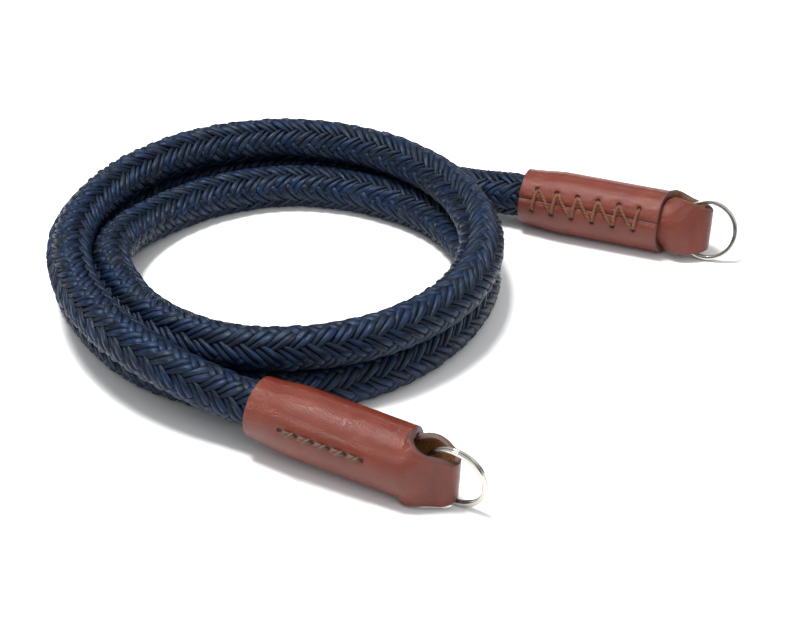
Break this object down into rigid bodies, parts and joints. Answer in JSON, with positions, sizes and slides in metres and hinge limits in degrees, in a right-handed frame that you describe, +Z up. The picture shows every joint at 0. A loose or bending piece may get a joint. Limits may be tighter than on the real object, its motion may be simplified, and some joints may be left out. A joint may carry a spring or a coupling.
{
  "type": "coiled rope camera strap",
  "caption": "Round braided rope lying in a loose coil, each end held in a folded leather sleeve whose loop carries a split ring.",
  "frame": {"origin": "on the surface that the strap lies on, under the middle of the box round the two leather ends and their rings", "axes": "+Z upwards from that surface; the two leather ends lie apart along Y and both point towards +X and a little towards -Y"},
  "size_m": [0.1892, 0.1682, 0.0229],
  "materials": {
    "braided_cord": "dark navy braided yarn",
    "tan_leather": "smooth reddish brown leather",
    "nickel_steel": "polished nickel plate"
  },
  "bodies": {
    "root": {"rope": "braided_cord", "leather_end_a": "tan_leather", "leather_end_b": "tan_leather", "ring_a": "nickel_steel", "ring_b": "nickel_steel"}
  },
  "joints": []
}
